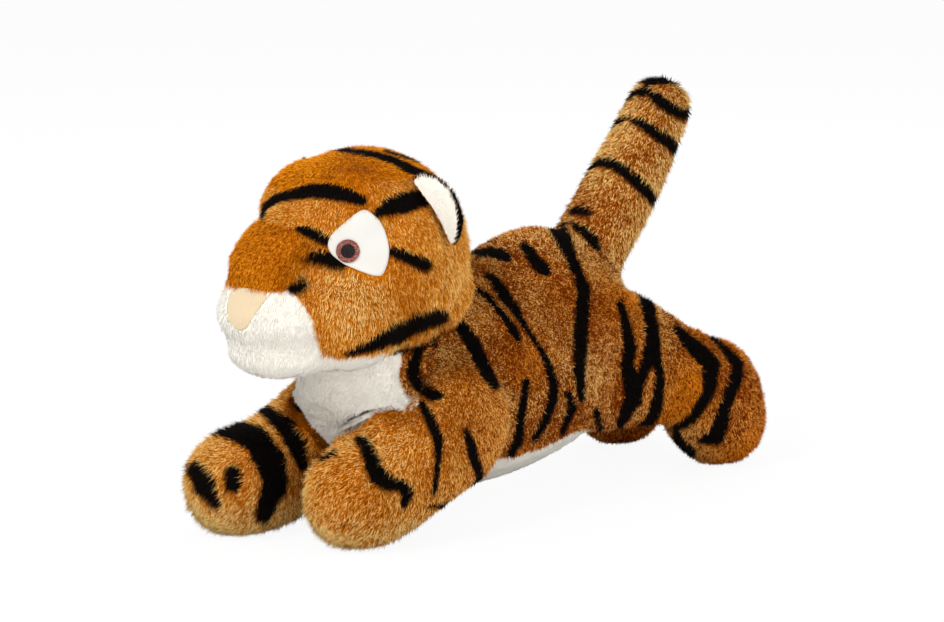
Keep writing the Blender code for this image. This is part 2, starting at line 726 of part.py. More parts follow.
def main():
    remove_everything()
    cloths = {
        "striped": cloth("orange plush", (0.45, 0.20, 0.05)),
        "dark": cloth("dark orange plush", (0.36, 0.13, 0.02)),
        "white": cloth("white plush", (0.85, 0.84, 0.80)),
        "felt": cloth("white felt", (0.90, 0.90, 0.88)),
        "nose": cloth("peach cloth", (0.90, 0.66, 0.45), 0.8),
        "iris": cloth("brown thread", (0.20, 0.07, 0.05), 0.5),
        "black": cloth("black thread", (0.01, 0.01, 0.01), 0.5),
    }
    torso = make_torso(cloths)
    make_neck(cloths, torso)
    head = make_head(cloths)
    face = make_face(cloths, head)
    eye = make_eye(cloths, head, bpy.data.objects["snout_bridge"])
    ear = make_ear(cloths)
    legs, hind, foot, tail = make_limbs(cloths)

    right_eye = [other_side(piece) for piece in eye]
    right_ear = [other_side(piece) for piece in ear]
    right_hind = [other_side(piece) for piece in (hind, foot)]
    neck_joint = carry("neck_joint", HEAD, [bpy.data.objects["neck"]])
    head_joint = carry("head_joint", HEAD, [head, *face, *eye, *right_eye], neck_joint)
    carry("ear_joint_left", EAR, ear, head_joint)
    carry("ear_joint_right", Vector((-EAR.x, EAR.y, EAR.z)), right_ear, head_joint)
    carry("shoulder_left", SHOULDER, legs[:1])
    carry("shoulder_right", SHOULDER, legs[1:])
    carry("hip_left", HIP, [hind, foot])
    carry("hip_right", HIP, right_hind)
    carry("tail_joint", TAIL_ROOT, [tail])


main()
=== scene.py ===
"""The looks of a plush tiger stretched out in a run: plush, felt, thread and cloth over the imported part.

Metres, +Z up, in the part's own frame: the tiger looks along -Y and its left side is +X.
Each stuffed body gets a cover, drawn smooth over its solids and stuffing, and a pile of short
tapered tufts that grow from it. The cover's points carry what the pile needs: how dense, long
and thick it is, which way it is combed, and where the cloth is printed black or is white.
"""

import math

import bmesh
import bpy
import numpy as np
from mathutils import Matrix, Vector, noise
from mathutils.bvhtree import BVHTree


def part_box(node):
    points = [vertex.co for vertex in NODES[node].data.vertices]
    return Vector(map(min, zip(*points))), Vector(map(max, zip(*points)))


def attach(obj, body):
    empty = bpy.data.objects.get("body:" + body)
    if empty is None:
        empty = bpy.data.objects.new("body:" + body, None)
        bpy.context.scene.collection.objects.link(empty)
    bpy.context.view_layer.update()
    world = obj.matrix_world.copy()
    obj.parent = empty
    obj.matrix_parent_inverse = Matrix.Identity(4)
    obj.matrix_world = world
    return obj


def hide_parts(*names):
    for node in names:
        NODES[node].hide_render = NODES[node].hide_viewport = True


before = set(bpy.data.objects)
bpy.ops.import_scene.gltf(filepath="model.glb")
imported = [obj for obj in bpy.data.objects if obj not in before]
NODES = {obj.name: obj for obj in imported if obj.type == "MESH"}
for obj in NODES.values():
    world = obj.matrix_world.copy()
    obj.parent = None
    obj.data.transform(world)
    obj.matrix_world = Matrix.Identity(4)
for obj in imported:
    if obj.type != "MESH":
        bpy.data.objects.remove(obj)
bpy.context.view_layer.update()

# The photograph's view of the tiger, and its size in pixels
PHOTO_WIDTH = 944
PHOTO_HEIGHT = 622
VIEW_TURN = math.radians(45)
VIEW_LIFT = math.radians(10)
VIEW_DISTANCE = 1.6
PIXELS_PER_METRE = 1898.0
ORIGIN_PIXEL = (487.0, 494.0)
SENSOR_WIDTH = 36.0

# The covers, and the fillets that their stuffing makes where two pieces are sewn together
COVER_VOXEL = 0.0013
BODY_FOLD = 0.009
HEAD_FOLD = 0.008
HIP_FOLD = 0.004
SEAM_DEPTH = 0.006
THROAT_DEPTH = 0.0105
CHEST_DEPTH = 0.035
PILE_DEPTH = 0.0014
# The pile that rests on the floor lies flat, this far above it
FLOOR_GAP = 0.0002

# The pile: tufts per square metre, their width, and how much each is lit as a round thing of its own
TUFTS = 1.80e6
TUFT_ROUNDNESS = 0.36
WHITE_PILE = 0.0028
WHITE_LAY = 0.80
WHITE_LOOSE = 0.20
LOCKS_PER_METRE = 260.0
PATCHES_PER_METRE = 27.0

# How far the black print runs past its drawn stripes, and how soft its edge is, in pixels
BODY_SPREAD = 0.7
HAUNCH_SPREAD = 1.2
TAIL_SPREAD = 0.5
PRINT_EDGE = 1.2

# The one form under all the body's covers is coarser, and each form is smoothed so many times
FORM_VOXEL = 0.002
FORM_ROUNDS = 8
COVER_ROUNDS = 6
HEAD_ROUNDS = 12

# Between the forelegs, ahead of here and this near the middle, the bib comes up from deeper
THROAT_BACK_Y = -0.07
THROAT_HALF_WIDTH = 0.030

# Of the light that reaches the camera from the floor, this share is the paper's own white
PAPER_SHARE = 0.93

ahead = Vector(
    (
        -math.sin(VIEW_TURN) * math.cos(VIEW_LIFT),
        math.cos(VIEW_TURN) * math.cos(VIEW_LIFT),
        -math.sin(VIEW_LIFT),
    )
)
rightwards = Vector((math.cos(VIEW_TURN), math.sin(VIEW_TURN), 0))
upwards = rightwards.cross(ahead)
off_right = (ORIGIN_PIXEL[0] - PHOTO_WIDTH / 2) / PIXELS_PER_METRE
off_up = (PHOTO_HEIGHT / 2 - ORIGIN_PIXEL[1]) / PIXELS_PER_METRE
looked_at = -rightwards * off_right - upwards * off_up
eye_place = looked_at - ahead * VIEW_DISTANCE


def photo_pixels(points):
    """Where points in the tiger's frame fall in the photograph, in its pixels."""
    away = np.asarray(points) - np.array(eye_place)
    depth = away @ np.array(ahead)
    scale = PIXELS_PER_METRE * VIEW_DISTANCE / depth
    across = away @ np.array(rightwards) * scale + PHOTO_WIDTH / 2
    down = PHOTO_HEIGHT / 2 - away @ np.array(upwards) * scale
    return np.stack([across, down], axis=1)


def sight_line(pixel):
    """The way from the camera through a pixel of the photograph."""
    across = (pixel[0] - PHOTO_WIDTH / 2) / PIXELS_PER_METRE
    up = (PHOTO_HEIGHT / 2 - pixel[1]) / PIXELS_PER_METRE
    return (ahead * VIEW_DISTANCE + rightwards * across + upwards * up).normalized()


def add_camera():
    camera = bpy.data.cameras.new("camera")
    camera.sensor_width = SENSOR_WIDTH
    camera.lens = SENSOR_WIDTH * VIEW_DISTANCE * PIXELS_PER_METRE / PHOTO_WIDTH
    holder = bpy.data.objects.new("camera", camera)
    holder.location = eye_place
    holder.rotation_euler = ahead.to_track_quat("-Z", "Y").to_euler()
    bpy.context.scene.collection.objects.link(holder)
    bpy.context.scene.camera = holder


def colour(code):
    """An sRGB hex code as the linear colour that Blender's sockets take."""
    parts = [int(code[k : k + 2], 16) / 255 for k in (0, 2, 4)]
    return (*[c / 12.92 if c <= 0.04045 else ((c + 0.055) / 1.055) ** 2.4 for c in parts], 1.0)


def add_node(tree, kind, links=None, **settings):
    """A node with its settings. links gives an input's name or place its value or the socket it takes."""
    node = tree.nodes.new(kind)
    for name, value in settings.items():
        setattr(node, name, value)
    for name, value in (links or {}).items():
        socket = node.inputs[name]
        if isinstance(value, bpy.types.NodeSocket):
            tree.links.new(value, socket)
        else:
            socket.default_value = value
    return node


def new_material(name):
    """An empty material with its Principled shader."""
    material = bpy.data.materials.new(name)
    material.use_nodes = True
    return material, material.node_tree, material.node_tree.nodes["Principled BSDF"]


def plush(name):
    """Acrylic plush, knitted and sheared: matt fibres, with painted shade at the roots where one looks down
    between the tufts, and a painted pale gold highlight on their tips. The orange plush is printed black in
    stripes.
    The white panels are white plush, sewn in, and are told apart here by the cover's points."""
    material, tree, shader = new_material(name)
    place = add_node(tree, "ShaderNodeTexCoord").outputs["Object"]
    # Locks of tufts that lean together are 2 to 4 mm across, the flecks in them are 1 to 2 mm across,
    # and the dye is uneven over 30 mm
    locks = add_node(
        tree, "ShaderNodeTexNoise", {"Vector": place, "Scale": 330.0, "Detail": 2.0}
    ).outputs["Fac"]
    flecks = add_node(
        tree, "ShaderNodeTexNoise", {"Vector": place, "Scale": 760.0, "Detail": 1.0}
    ).outputs["Fac"]
    dye = add_node(
        tree, "ShaderNodeTexNoise", {"Vector": place, "Scale": 33.0, "Detail": 2.0}
    ).outputs["Fac"]
    shade = add_node(tree, "ShaderNodeAttribute", attribute_name="shade").outputs["Fac"]
    height = add_node(tree, "ShaderNodeAttribute", attribute_name="tip").outputs["Fac"]
    white = add_node(tree, "ShaderNodeAttribute", attribute_name="white").outputs["Fac"]
    stripe = add_node(tree, "ShaderNodeAttribute", attribute_name="stripe").outputs["Fac"]
    rust = add_node(tree, "ShaderNodeAttribute", attribute_name="rust").outputs["Fac"]
    # pale sets how strong the painted highlight on the tips is
    pale = add_node(tree, "ShaderNodeAttribute", attribute_name="pale").outputs["Fac"]

    # How light each tuft is, by its lock, its fleck, the dye around it and chance. The rusty plush of the
    # body has more contrast than the golden plush of the head
    light = add_node(
        tree, "ShaderNodeMapRange", {"Value": locks, "From Min": 0.36, "From Max": 0.64}
    ).outputs["Result"]
    fleck = add_node(
        tree, "ShaderNodeMapRange", {"Value": flecks, "From Min": 0.36, "From Max": 0.64, "To Max": 1.3}
    ).outputs["Result"]
    broad = add_node(
        tree, "ShaderNodeMapRange", {"Value": dye, "From Min": 0.3, "From Max": 0.7, "To Max": 1.4}
    ).outputs["Result"]
    chance = add_node(tree, "ShaderNodeMath", {0: shade, 1: 1.6}, operation="MULTIPLY").outputs[0]
    for part in (fleck, broad, chance):
        light = add_node(tree, "ShaderNodeMath", {0: light, 1: part}, operation="ADD").outputs[0]
    low = add_node(
        tree, "ShaderNodeMapRange", {"Value": rust, "To Min": 1.4, "To Max": 2.1}
    ).outputs["Result"]
    high = add_node(
        tree, "ShaderNodeMapRange", {"Value": rust, "To Min": 3.55, "To Max": 3.1}
    ).outputs["Result"]
    level = add_node(
        tree, "ShaderNodeMapRange", {"Value": light, "From Min": low, "From Max": high}
    ).outputs["Result"]
    rise = add_node(
        tree, "ShaderNodeMapRange", {"Value": height, "From Min": 0.05, "From Max": 0.55}
    ).outputs["Result"]
    ends = add_node(
        tree, "ShaderNodeMapRange", {"Value": height, "From Min": 0.35, "From Max": 0.9}
    ).outputs["Result"]

    # Painted shade: the roots, deep in the pile, are painted darker than the middles of the tufts
    root_shade = add_node(
        tree, "ShaderNodeMix", {0: rust, 6: colour("964200"), 7: colour("441400")}, data_type="RGBA"
    ).outputs[2]
    dark = add_node(
        tree, "ShaderNodeMix", {0: rust, 6: colour("C06600"), 7: colour("842E00")}, data_type="RGBA"
    ).outputs[2]
    bright = add_node(
        tree, "ShaderNodeMix", {0: rust, 6: colour("FFA410"), 7: colour("F48A0C")}, data_type="RGBA"
    ).outputs[2]
    body = add_node(tree, "ShaderNodeMix", {0: level, 6: dark, 7: bright}, data_type="RGBA").outputs[2]
    dyed_with_root_shade = add_node(tree, "ShaderNodeMix", {0: rise, 6: root_shade, 7: body}, data_type="RGBA").outputs[2]
    # Painted highlight: the tips turn pale gold, the more so on lighter tufts and where pale is high
    lit = add_node(tree, "ShaderNodeMath", {0: level, 1: level}, operation="MULTIPLY").outputs[0]
    lit = add_node(tree, "ShaderNodeMath", {0: lit, 1: ends}, operation="MULTIPLY").outputs[0]
    lit = add_node(tree, "ShaderNodeMath", {0: lit, 1: pale}, operation="MULTIPLY").outputs[0]
    orange = add_node(
        tree, "ShaderNodeMix", {0: lit, 6: dyed_with_root_shade, 7: colour("FFDC8C")}, data_type="RGBA"
    ).outputs[2]
    # The white plush, with painted shade at the roots
    white_with_root_shade = add_node(
        tree, "ShaderNodeMix", {0: height, 6: colour("F0E9DA"), 7: colour("FFFDF6")}, data_type="RGBA"
    ).outputs[2]
    ground = add_node(
        tree, "ShaderNodeMix", {0: white, 6: orange, 7: white_with_root_shade}, data_type="RGBA"
    ).outputs[2]
    # The black ink, with painted shade at the roots
    ink_with_root_shade = add_node(
        tree, "ShaderNodeMix", {0: ends, 6: colour("060403"), 7: colour("140D09")}, data_type="RGBA"
    ).outputs[2]
    printed_cloth = add_node(
        tree, "ShaderNodeMix", {0: stripe, 6: ground, 7: ink_with_root_shade}, data_type="RGBA"
    ).outputs[2]
    tree.links.new(printed_cloth, shader.inputs["Base Color"])
    shader.inputs["Roughness"].default_value = 0.7
    shader.inputs["Specular IOR Level"].default_value = 0.04
    return material


def felt(name, face):
    """Short white felt, pressed from wool: dull, with fine soft fibres on its face 0.6 mm apart."""
    material, tree, shader = new_material(name)
    place = add_node(tree, "ShaderNodeTexCoord").outputs["Object"]
    fibres = add_node(
        tree, "ShaderNodeTexNoise", {"Vector": place, "Scale": 1600.0, "Detail": 3.0}
    ).outputs["Fac"]
    shaded = add_node(
        tree, "ShaderNodeMix", {0: fibres, 6: colour("D3D1CB"), 7: colour(face)}, data_type="RGBA"
    ).outputs[2]
    tree.links.new(shaded, shader.inputs["Base Color"])
    bump = add_node(tree, "ShaderNodeBump", {"Height": fibres, "Strength": 0.35, "Distance": 0.0004})
    tree.links.new(bump.outputs[0], shader.inputs["Normal"])
    shader.inputs["Roughness"].default_value = 0.9
    shader.inputs["Specular IOR Level"].default_value = 0.15
    return material


def embroidery(name, dark, light, shine):
    """Rayon thread in short stitches, packed tight: specks of light on a dark ground, and a soft shine.
    Real stitches are 0.4 mm wide, and these are drawn a little coarser so that they show."""
    material, tree, shader = new_material(name)
    place = add_node(tree, "ShaderNodeTexCoord").outputs["Object"]
    stitches = add_node(
        tree, "ShaderNodeTexNoise", {"Vector": place, "Scale": 1500.0, "Detail": 1.0, "Distortion": 0.8}
    ).outputs["Fac"]
    raised = add_node(
        tree, "ShaderNodeMapRange", {"Value": stitches, "From Min": 0.38, "From Max": 0.66}
    ).outputs["Result"]
    shaded = add_node(
        tree, "ShaderNodeMix", {0: raised, 6: colour(dark), 7: colour(light)}, data_type="RGBA"
    ).outputs[2]
    tree.links.new(shaded, shader.inputs["Base Color"])
    bump = add_node(tree, "ShaderNodeBump", {"Height": raised, "Strength": 0.6, "Distance": 0.0003})
    tree.links.new(bump.outputs[0], shader.inputs["Normal"])
    shader.inputs["Roughness"].default_value = 0.45
    shader.inputs["Specular IOR Level"].default_value = shine
    return material


def ribbed_cloth(name, dark, light, spacing):
    """Peach velour, its nap raised by brushing: matt, with fine upright ribs, and a little paler on top of
    each rib.
    """
    material, tree, shader = new_material(name)
    place = add_node(tree, "ShaderNodeTexCoord").outputs["Object"]
    ribs = add_node(
        tree,
        "ShaderNodeTexWave",
        {"Vector": place, "Scale": 0.314 / spacing, "Distortion": 0.4},
        wave_type="BANDS",
        bands_direction="X",
    ).outputs["Fac"]
    nap = add_node(
        tree, "ShaderNodeTexNoise", {"Vector": place, "Scale": 900.0, "Detail": 3.0}
    ).outputs["Fac"]
    face = add_node(tree, "ShaderNodeMath", {0: ribs, 1: nap}, operation="MULTIPLY").outputs[0]
    shaded = add_node(
        tree, "ShaderNodeMix", {0: face, 6: colour(dark), 7: colour(light)}, data_type="RGBA"
    ).outputs[2]
    tree.links.new(shaded, shader.inputs["Base Color"])
    bump = add_node(tree, "ShaderNodeBump", {"Height": face, "Strength": 0.5, "Distance": 0.0003})
    tree.links.new(bump.outputs[0], shader.inputs["Normal"])
    shader.inputs["Roughness"].default_value = 0.85
    shader.inputs["Sheen Weight"].default_value = 0.1
    return material


# Each stripe is a run of (across, down, half width) over the photograph's view, in its pixels.
HEAD_BANDS = [
    [
        (262, 219, 2), (266, 206, 4), (277, 199, 5), (290, 196, 5.5), (308, 192, 7.5), (326, 192, 8.5),
        (345, 196, 8), (363, 202, 5),
    ],
    [
        (332, 149, 2), (354, 151, 3), (376, 155, 3.5), (395, 161, 4), (411, 170, 5), (425, 174, 3),
        (436, 179, 3),
    ],
    [(384, 151, 1.5), (400, 156, 1.5), (420, 163, 1)],
]
HEAD_MIDDLE = (0, -0.095, 0.14)
NAPE_HEIGHTS = (0.156, 0.138)
HEAD_STRIPES = [
    [(378, 215, 5), (389, 209, 9), (405, 204, 11), (422, 199, 10)],
    [(391, 253, 5), (405, 258, 6.5), (426, 267, 7.5)],
    [(297, 230, 3), (308, 233, 6), (317, 238, 7), (327, 244, 6)],
    [(304, 263, 2.5), (316, 258, 7), (328, 262, 7), (345, 267, 5)],
    [(293, 290, 6), (299, 288, 7), (304, 285, 6)],
    [(345, 356, 2), (370, 348, 6), (395, 335, 9), (420, 323, 10), (441, 317, 8)],
]
TORSO_STRIPES = [
    [
        (486, 275, 2), (492, 278, 4), (500, 289, 6), (508, 300, 5.5), (516, 311, 4), (523, 323, 2.5),
        (530, 334, 2), (538, 346, 2.5), (545, 358, 3), (550, 370, 4), (553, 382, 4.5), (553, 399, 4.5),
        (546, 420, 4), (535, 439, 3),
    ],
    [(477, 290, 2), (487, 296, 3), (496, 307, 3), (508, 323, 3.5), (514, 331, 4), (519, 340, 2.5)],
    [
        (455, 318, 4), (461, 328, 6), (474, 345, 7), (480, 360, 6.5), (488, 375, 6), (495, 386, 4),
    ],
    [
        (557, 226, 9), (564, 240, 7.5), (571, 258, 5), (579, 275, 5), (584, 292, 6.5), (582, 313, 7),
        (581, 331, 7), (580, 349, 7), (579, 368, 6), (580, 385, 4), (581, 399, 3),
    ],
    [(523, 246, 4), (528, 251, 5.5), (535, 261, 6), (542, 268, 6.5), (547, 272, 4)],
    [(478, 255, 3), (488, 252, 4.5), (500, 254, 5.5), (507, 258, 4)],
    [(574, 226, 3), (585, 233, 4.5), (593, 241, 5), (598, 248, 3)],
    [(526, 382, 3.5), (521, 416, 4), (518, 442, 4.5), (510, 454, 4)],
    [(568, 394, 3), (572, 408, 4), (562, 433, 3)],
    [
        (428, 339, 2.5), (420, 347, 4.5), (415, 361, 6), (412, 374, 6), (417, 384, 6), (425, 391, 6.5),
        (432, 396, 6), (440, 396, 3),
    ],
    [(596, 413, 4), (600, 428, 2.5)],
]
HAUNCH_STRIPES = [
    [
        (620, 304, 3), (624, 319, 3.5), (627, 333, 5), (630, 348, 6), (627, 363, 5.5), (629, 375, 7),
        (633, 388, 9), (633, 400, 8), (626, 412, 6), (620, 424, 3.5),
    ],
    [
        (642, 296, 4), (649, 309, 5.5), (652, 327, 6), (653, 343, 7), (648, 360, 6), (643, 375, 5),
        (637, 387, 6),
    ],
    [
        (656, 348, 4), (658, 364, 3.5), (660, 380, 4), (658, 396, 4.5), (655, 411, 5.5), (650, 421, 4.5),
        (638, 427, 2),
    ],
    [
        (677, 329, 3), (688, 342, 6), (701, 353, 8), (711, 364, 8), (711, 377, 7), (709, 392, 5.5),
        (701, 406, 5), (693, 417, 4.5), (683, 426, 4), (674, 427, 2),
    ],
    [
        (711, 337, 1.5), (724, 349, 3), (738, 364, 5), (736, 380, 6), (730, 394, 5.5), (724, 411, 5.5),
        (721, 424, 7), (716, 438, 7), (701, 441, 3),
    ],
    [(676, 433, 2.5), (681, 446, 5), (692, 453, 4)],
]
NEAR_FORELEG_STRIPES = [
    [
        (356, 440, 3), (364, 444, 6), (371, 462, 7.5), (377, 477, 9), (388, 485, 8), (399, 486, 5),
        (410, 490, 2),
    ],
    [(399, 490, 3), (407, 498, 5), (402, 507, 3)],
    [
        (422, 406, 4), (428, 417, 5), (434, 430, 5.5), (438, 443, 4.5), (438, 460, 3.5), (436, 477, 2.5),
        (433, 496, 1.5),
    ],
    [(466, 432, 3), (471, 446, 4.5), (474, 460, 4.5), (479, 472, 4), (478, 482, 3), (473, 486, 2)],
    [(320, 460, 1), (328, 456, 2), (335, 453, 2)],
    [(430, 507, 1), (445, 506, 2), (458, 499, 1)],
]
FAR_FORELEG_STRIPES = [
    [(210, 430, 5), (235, 431, 10), (256, 440, 13), (270, 462, 15), (275, 485, 13), (262, 515, 8)],
    [(195, 470, 8), (205, 488, 10), (215, 505, 5)],
    [(232, 474, 8), (232, 486, 8)],
    [(262, 408, 5), (282, 425, 8), (296, 445, 9), (302, 467, 5)],
    [(290, 405, 5), (303, 408, 6), (317, 414, 5)],
]
TAIL_STRIPES = [
    [(644, 84, 3), (657, 81, 3.5), (674, 80, 3.5), (684, 83, 2.5)],
    [(634, 97, 2), (646, 92, 4), (657, 100, 5.5), (668, 108, 6), (679, 115, 5.5), (690, 114, 6)],
    [(631, 121, 2.5), (643, 125, 5), (654, 134, 6), (668, 142, 6), (678, 154, 5)],
    [
        (585, 168, 3), (596, 163, 4.5), (610, 164, 5), (622, 171, 6), (635, 182, 6), (646, 192, 6),
        (652, 200, 5),
    ],
    [(561, 212, 2.5), (569, 208, 4.5), (580, 211, 5), (587, 214, 3.5)],
    [(574, 226, 3), (585, 233, 4.5), (593, 241, 5), (598, 248, 3)],
]

# The black edge of the ear, from its front end round to its back one
EAR_RIM = [
    [(411, 172, 5), (425, 174, 4.5), (438, 180, 4.5), (449, 189, 4.5), (457, 203, 5), (461, 220, 5),
     (460, 237, 4.5), (455, 251, 3)],
]

# The white of the muzzle and jaw, and of the throat and bib, as outlines over the photograph's view
MUZZLE_WHITE = [
    (190, 275), (222, 284), (232, 290), (268, 292), (291, 291), (300, 300), (309, 314), (315, 330),
    (319, 347), (323, 355), (340, 358), (360, 356), (375, 354), (392, 349),
    (425, 338), (425, 420), (190, 420),
]
BIB_WHITE = [
    (240, 340), (404, 340), (401, 360), (400, 380), (408, 396), (428, 402), (424, 410), (405, 413),
    (389, 418), (365, 430), (350, 442), (330, 450), (300, 440), (240, 420),
]

# The felt under the left eye, the ring and pupil on it, and the nose, over the photograph's view
EYE_FELT = [
    (366, 207), (380, 219), (387, 233), (391, 250), (389, 264), (383, 279), (374, 278), (360, 273),
    (344, 266), (330, 255), (325, 245), (329, 235), (341, 224), (353, 214), (361, 208),
]
EAR_WHITE = [
    (413, 181), (422, 176), (439, 182), (449, 192), (455, 206), (457, 226), (454, 241), (451, 255),
    (443, 241), (437, 226), (431, 211), (423, 197),
]
SNOUT_PANEL = [
    (215, 284), (228, 262), (243, 240), (256, 221), (280, 222), (298, 229), (313, 243), (318, 250),
    (304, 262), (296, 275), (291, 291), (268, 294), (240, 292),
]
# The deep orange brow panel above the black band
BROW_PANEL = [
    (250, 226), (256, 200), (275, 172), (306, 150), (340, 140), (425, 150), (430, 172), (412, 178),
    (385, 178), (365, 182), (365, 203), (345, 196), (308, 192), (277, 199),
]
# Painted shade in the furrow that parts the near paw's toes from its sole
PAW_FURROW_SHADE = [[(330, 519, 1), (340, 523, 2.5), (350, 523, 2.5), (358, 519, 1)]]
CHEEK_CENTRE = (350, 292)
CHEEK_PIXELS = 48.0
FELT_CENTRE = (360, 245)
NOSE_CENTRE = (245, 307)
EYE_CENTRE = (348, 251)
IRIS_PIXELS = 12.5
PUPIL_PIXELS = 7.4
NOSE_CLOTH = [
    (273, 293), (262, 306), (254, 318), (249, 327), (244, 332), (238, 332), (231, 327), (226, 318),
    (227, 304), (229, 293), (233, 288), (241, 286), (256, 288),
]


def distance_to(line, pixels):
    """How far each pixel is outside a stripe: its distance to the stripe's line, less its half width there."""
    nearest = np.full(len(pixels), 1e9)
    for start, end in zip(line, line[1:]):
        a, b = np.array(start[:2], float), np.array(end[:2], float)
        share = np.clip((pixels - a) @ (b - a) / ((b - a) @ (b - a)), 0, 1)
        away = np.linalg.norm(pixels - (a + share[:, None] * (b - a)), axis=1)
        half = start[2] + share * (end[2] - start[2])
        nearest = np.minimum(nearest, away - half)
    return nearest


def printed(points, stripes, mirrored=True, spread=0.0):
    """1 where the cloth is printed black, 0 where it isn't. A mirrored print takes the left side's stripes,
    and spread widens them by so many pixels."""
    pixels = from_left(points) if mirrored else photo_pixels(points)
    outside = np.min([distance_to(line, pixels) for line in stripes], axis=0)
    return np.clip(0.5 - (outside - spread) / PRINT_EDGE, 0, 1)


def body_print(points):
    """The body's stripes: the left side's on both sides, and each foreleg's own, also where the covers meet.
    The right hind foot's sole is plain."""
    torso = printed(points, TORSO_STRIPES, spread=BODY_SPREAD)
    shared = np.maximum(torso, printed(points, HAUNCH_STRIPES, spread=HAUNCH_SPREAD))
    shared *= (points[:, 0] > 0) | (points[:, 1] < 0.06) | (points[:, 2] > 0.03)
    near = printed(points, NEAR_FORELEG_STRIPES, False, BODY_SPREAD)
    far = printed(points, FAR_FORELEG_STRIPES, False, BODY_SPREAD)
    ahead_of_hips = points[:, 1] < 0
    return np.maximum(shared, ahead_of_hips * np.where(points[:, 0] > 0, near, far))


def head_print(points):
    """Bands that cross the brow and the crown, stripes that come in pairs, and two bands on the nape,
    which the photograph doesn't show."""
    faced = (points - np.array(HEAD_MIDDLE)) @ np.array(ahead) < 0.004
    bands = printed(points, HEAD_BANDS, False) * faced
    behind = points[:, 1] > -0.078
    taper = np.clip(1 - (points[:, 0] / 0.032) ** 2, 0, 1)
    nape = [np.abs(points[:, 2] - height) < 0.003 * taper for height in NAPE_HEIGHTS]
    return np.max([bands, printed(points, HEAD_STRIPES), behind * nape[0], behind * nape[1]], axis=0)


def tail_print(points):
    return printed(points, TAIL_STRIPES, spread=TAIL_SPREAD)


def ear_print(points):
    return printed(points, EAR_RIM)


def from_left(points):
    """Where points fall in the photograph's view once those on the right side are taken to the left one."""
    points = np.array(points)
    points[:, 0] = np.abs(points[:, 0])
    return photo_pixels(points)


def shrunk(outline, share):
    """An outline drawn in towards its middle."""
    middle = np.mean(outline, axis=0)
    return [tuple(middle + (np.array(point) - middle) * share) for point in outline]


def inside(points, outline):
    """1 for points that fall inside an outline drawn over the photograph's view."""
    pixels = from_left(points)
    odd = np.zeros(len(pixels), bool)
    for (ax, ay), (bx, by) in zip(outline, outline[1:] + outline[:1]):
        crosses = (ay > pixels[:, 1]) != (by > pixels[:, 1])
        with np.errstate(divide="ignore", invalid="ignore"):
            at = ax + (pixels[:, 1] - ay) * (bx - ax) / (by - ay)
        odd ^= crosses & (pixels[:, 0] < at)
    return odd.astype(float)


def applied(obj):
    """The mesh of an object with its modifiers applied."""
    bpy.context.view_layer.update()
    return bpy.data.meshes.new_from_object(obj.evaluated_get(bpy.context.evaluated_depsgraph_get()))


def link(name, mesh, material=None):
    obj = bpy.data.objects.new(name, mesh)
    bpy.context.scene.collection.objects.link(obj)
    if material:
        mesh.materials.clear()
        mesh.materials.append(material)
    return obj


def stuffed(name, nodes, fillers, fold, voxel, rounds):
    """One smooth closed form over some nodes and over balls that fill hollows, with fillets in its folds.

    It lies the depth of the pile inside the solids, so that the tips of the pile reach their surface.
    """
    bm = bmesh.new()
    for node in nodes:
        bm.from_mesh(NODES[node].data)
    bmesh.ops.remove_doubles(bm, verts=bm.verts, dist=1e-6)
    for centre, sizes in fillers:
        matrix = Matrix.Translation(centre) @ Matrix.Diagonal((*sizes, 1))
        bmesh.ops.create_uvsphere(bm, u_segments=32, v_segments=20, radius=1, matrix=matrix)
    mesh = bpy.data.meshes.new(name)
    bm.to_mesh(mesh)
    bm.free()
    rough = link(name, mesh)
    for step in (fold, -fold - PILE_DEPTH):
        remesh = rough.modifiers.new("one cover", "REMESH")
        remesh.mode = "VOXEL"
        remesh.voxel_size = voxel
        remesh.use_smooth_shade = True
        swell = rough.modifiers.new("fillets", "DISPLACE")
        swell.mid_level = 0.0
        swell.strength = step
    smooth = rough.modifiers.new("smooth", "SMOOTH")
    smooth.factor = 0.5
    smooth.iterations = rounds
    made = applied(rough)
    bpy.data.objects.remove(rough, do_unlink=True)
    return made


def points_of(obj):
    mesh = obj.data
    points = np.empty(len(mesh.vertices) * 3)
    mesh.vertices.foreach_get("co", points)
    normals = np.empty(len(mesh.vertices) * 3)
    mesh.vertex_normals.foreach_get("vector", normals)
    return points.reshape(-1, 3), normals.reshape(-1, 3)


def carry(obj, name, values):
    """Give each point of a cover a number or a direction."""
    values = np.asarray(values, dtype=np.float32)
    kind, field = ("FLOAT", "value") if values.ndim == 1 else ("FLOAT_VECTOR", "vector")
    attribute = obj.data.attributes.new(name, kind, "POINT")
    attribute.data.foreach_set(field, values.ravel())


def search_tree(mesh):
    bm = bmesh.new()
    bm.from_mesh(mesh)
    tree = BVHTree.FromBMesh(bm)
    bm.free()
    return tree


def settle(obj, left_form, right_form, depth):
    """Draw a cover onto the form that all the sewn bodies make together, so that a seam is only a soft fold.

    Returns True for the points that stay hidden inside the other bodies, each deeper than its own depth,
    and the way out of the form at each point.
    """
    points, _ = points_of(obj)
    hidden = np.zeros(len(points), bool)
    outwards = np.zeros((len(points), 3))
    for k, point in enumerate(points):
        form = left_form if point[0] > 0 else right_form
        place, normal, _, _ = form.find_nearest(Vector(point))
        hidden[k] = (place - Vector(point)).dot(normal) > depth[k]
        outwards[k] = normal
        if not hidden[k]:
            obj.data.vertices[k].co = place
    obj.data.update()
    return hidden, outwards


def buried(obj, node):
    """True for the points of a cover that are inside a node."""
    points, _ = points_of(obj)
    tree = search_tree(NODES[node].data)
    hidden = np.zeros(len(points), bool)
    for k, point in enumerate(points):
        place, normal, _, _ = tree.find_nearest(Vector(point))
        hidden[k] = (place - Vector(point)).dot(normal) > 0
    return hidden


